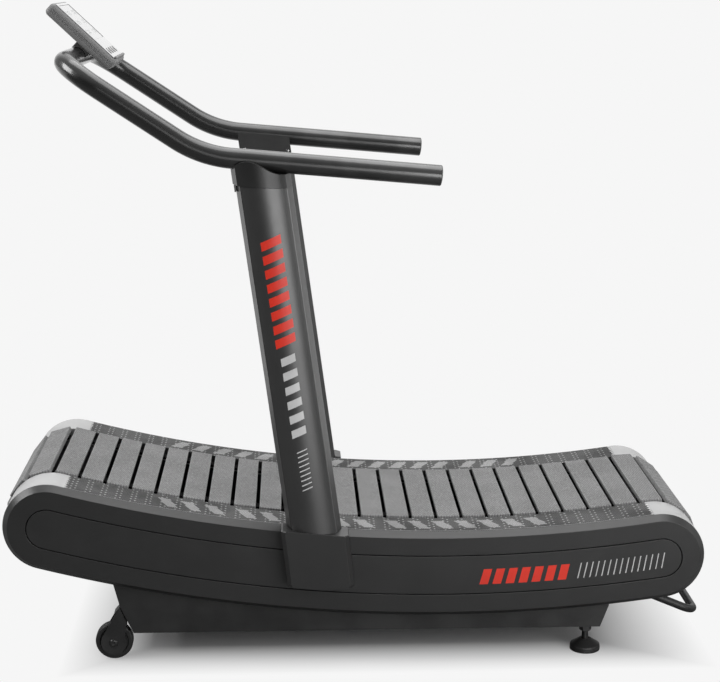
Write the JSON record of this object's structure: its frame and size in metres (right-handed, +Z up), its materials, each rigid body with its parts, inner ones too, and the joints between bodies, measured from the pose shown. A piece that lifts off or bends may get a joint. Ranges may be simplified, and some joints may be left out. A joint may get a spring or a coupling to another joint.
{
  "type": "curved manual treadmill",
  "caption": "Motorless treadmill with a slatted belt on a sagging curved deck, D-section side posts, a bent tube handlebar, a console, rear levelling feet and front transport wheels.",
  "frame": {"origin": "on the floor, under the middle of the overall length and width", "axes": "+X to the rear of the machine, +Y to its right-hand side as the runner faces the console, +Z up"},
  "size_m": [1.7894, 0.8, 1.6548],
  "materials": {
    "cover_plastic": "fine-grained satin black",
    "console_plastic": "fine-grained dark grey",
    "foot_tread": "embossed grey rubber tread",
    "end_cap_paint": "satin light grey",
    "post_paint": "satin metallic charcoal powder coat",
    "frame_paint": "satin black powder coat",
    "slat_rubber": "grey textured rubber",
    "steel": "machined",
    "dark_steel": "black oxide",
    "plug_plastic": "moulded grey",
    "wheel_rubber": "matte black",
    "pulley_nylon": "moulded nylon",
    "lens": "smoked clear window",
    "button_rubber": "soft grey"
  },
  "bodies": {
    "machine": {"base_frame": "frame_paint", "console_bracket": "frame_paint", "lift_handle": "frame_paint", "handlebar": "post_paint", "console_housing": "console_plastic", "console_lens": "lens", "side_cover_left": "cover_plastic", "side_panel_left": "cover_plastic", "upright_housing_left": "cover_plastic", "foot_rail_left": "foot_tread", "end_cap_front_left": "end_cap_paint", "end_cap_rear_left": "end_cap_paint", "upright_left": "post_paint", "handlebar_collar_left": "post_paint", "handlebar_plug_left": "plug_plastic", "wheel_bracket_left": "frame_paint", "wheel_bolt_left": "dark_steel", "foot_nut_left": "dark_steel", "guide_rail_left": "steel", "front_bearing_left": "steel", "rear_bearing_left": "steel", "side_cover_right": "cover_plastic", "side_panel_right": "cover_plastic", "upright_housing_right": "cover_plastic", "foot_rail_right": "foot_tread", "end_cap_front_right": "end_cap_paint", "end_cap_rear_right": "end_cap_paint", "upright_right": "post_paint", "handlebar_collar_right": "post_paint", "handlebar_plug_right": "plug_plastic", "wheel_bracket_right": "frame_paint", "wheel_bolt_right": "dark_steel", "foot_nut_right": "dark_steel", "guide_rail_right": "steel", "front_bearing_right": "steel", "rear_bearing_right": "steel"},
    "belt_top": {"belt_top_run": "slat_rubber"},
    "belt_bottom": {"belt_bottom_run": "slat_rubber"},
    "belt_front": {"belt_front_wrap": "slat_rubber"},
    "belt_rear": {"belt_rear_wrap": "slat_rubber"},
    "front_drum": {"front_shaft": "steel", "front_pulley_left": "pulley_nylon", "front_pulley_right": "pulley_nylon"},
    "rear_drum": {"rear_shaft": "steel", "rear_pulley_left": "pulley_nylon", "rear_pulley_right": "pulley_nylon"},
    "wheel_left": {"transport_wheel_left": "wheel_rubber"},
    "foot_left": {"foot_pad_left": "wheel_rubber"},
    "stud_left": {"foot_stud_left": "dark_steel"},
    "wheel_right": {"transport_wheel_right": "wheel_rubber"},
    "foot_right": {"foot_pad_right": "wheel_rubber"},
    "stud_right": {"foot_stud_right": "dark_steel"},
    "button_1": {"console_button_1": "button_rubber"},
    "button_2": {"console_button_2": "button_rubber"},
    "button_3": {"console_button_3": "button_rubber"},
    "button_4": {"console_button_4": "button_rubber"}
  },
  "joints": [
    {"name": "belt_travel", "type": "hinge", "parent": "machine", "child": "belt_top", "pos_m": [0.23048, 0, 4.10652], "axis": [0, -1, 0], "range_deg": [-0.14, 0.86]},
    {"name": "belt_return", "type": "hinge", "parent": "machine", "child": "belt_bottom", "pos_m": [0.23048, 0, 4.10652], "axis": [0, 1, 0], "range_deg": [-0.137, 0.818]},
    {"name": "belt_front_turn", "type": "hinge", "parent": "machine", "child": "belt_front", "pos_m": [-0.77714, 0, 0.37], "axis": [0, 1, 0], "range_deg": [-5.15, 30.84]},
    {"name": "belt_rear_turn", "type": "hinge", "parent": "machine", "child": "belt_rear", "pos_m": [0.77486, 0, 0.275], "axis": [0, 1, 0], "range_deg": [-5.15, 30.84]},
    {"name": "front_drum_turn", "type": "hinge", "parent": "machine", "child": "front_drum", "pos_m": [-0.77714, 0, 0.37], "axis": [0, 1, 0], "range_deg": [-5.15, 30.84]},
    {"name": "rear_drum_turn", "type": "hinge", "parent": "machine", "child": "rear_drum", "pos_m": [0.77486, 0, 0.275], "axis": [0, 1, 0], "range_deg": [-5.15, 30.84]},
    {"name": "wheel_spin_left", "type": "hinge", "parent": "machine", "child": "wheel_left", "pos_m": [-0.62314, -0.269, 0.048], "axis": [0, 1, 0], "continuous": true},
    {"name": "foot_height_left", "type": "slide", "parent": "machine", "child": "foot_left", "axis": [0, 0, 1], "range_m": [-0.012, 0.012]},
    {"name": "stud_turn_left", "type": "hinge", "parent": "foot_left", "child": "stud_left", "pos_m": [0.59786, -0.2585, 0.05], "axis": [0, 0, 1], "range_deg": [-2470, 2470]},
    {"name": "wheel_spin_right", "type": "hinge", "parent": "machine", "child": "wheel_right", "pos_m": [-0.62314, 0.269, 0.048], "axis": [0, 1, 0], "continuous": true},
    {"name": "foot_height_right", "type": "slide", "parent": "machine", "child": "foot_right", "axis": [0, 0, 1], "range_m": [-0.012, 0.012]},
    {"name": "stud_turn_right", "type": "hinge", "parent": "foot_right", "child": "stud_right", "pos_m": [0.59786, 0.2585, 0.05], "axis": [0, 0, 1], "range_deg": [-2470, 2470]},
    {"name": "button_press_1", "type": "slide", "parent": "machine", "child": "button_1", "axis": [-0.6858, 0, -0.7278], "range_m": [0, 0.0012], "stiffness_N_per_m": 400},
    {"name": "button_press_2", "type": "slide", "parent": "machine", "child": "button_2", "axis": [-0.6858, 0, -0.7278], "range_m": [0, 0.0012], "stiffness_N_per_m": 400},
    {"name": "button_press_3", "type": "slide", "parent": "machine", "child": "button_3", "axis": [-0.6858, 0, -0.7278], "range_m": [0, 0.0012], "stiffness_N_per_m": 400},
    {"name": "button_press_4", "type": "slide", "parent": "machine", "child": "button_4", "axis": [-0.6858, 0, -0.7278], "range_m": [0, 0.0012], "stiffness_N_per_m": 400}
  ],
  "couplings": [
    {"joint": "belt_return", "follows": "belt_travel", "ratio": 0.94698},
    {"joint": "belt_front_turn", "follows": "belt_travel", "ratio": 35.723},
    {"joint": "belt_rear_turn", "follows": "belt_travel", "ratio": 35.723},
    {"joint": "front_drum_turn", "follows": "belt_travel", "ratio": 35.723},
    {"joint": "rear_drum_turn", "follows": "belt_travel", "ratio": 35.723},
    {"joint": "stud_turn_left", "follows": "foot_height_left", "rad_per_m": 3590.4},
    {"joint": "stud_turn_right", "follows": "foot_height_right", "rad_per_m": 3590.4}
  ]
}
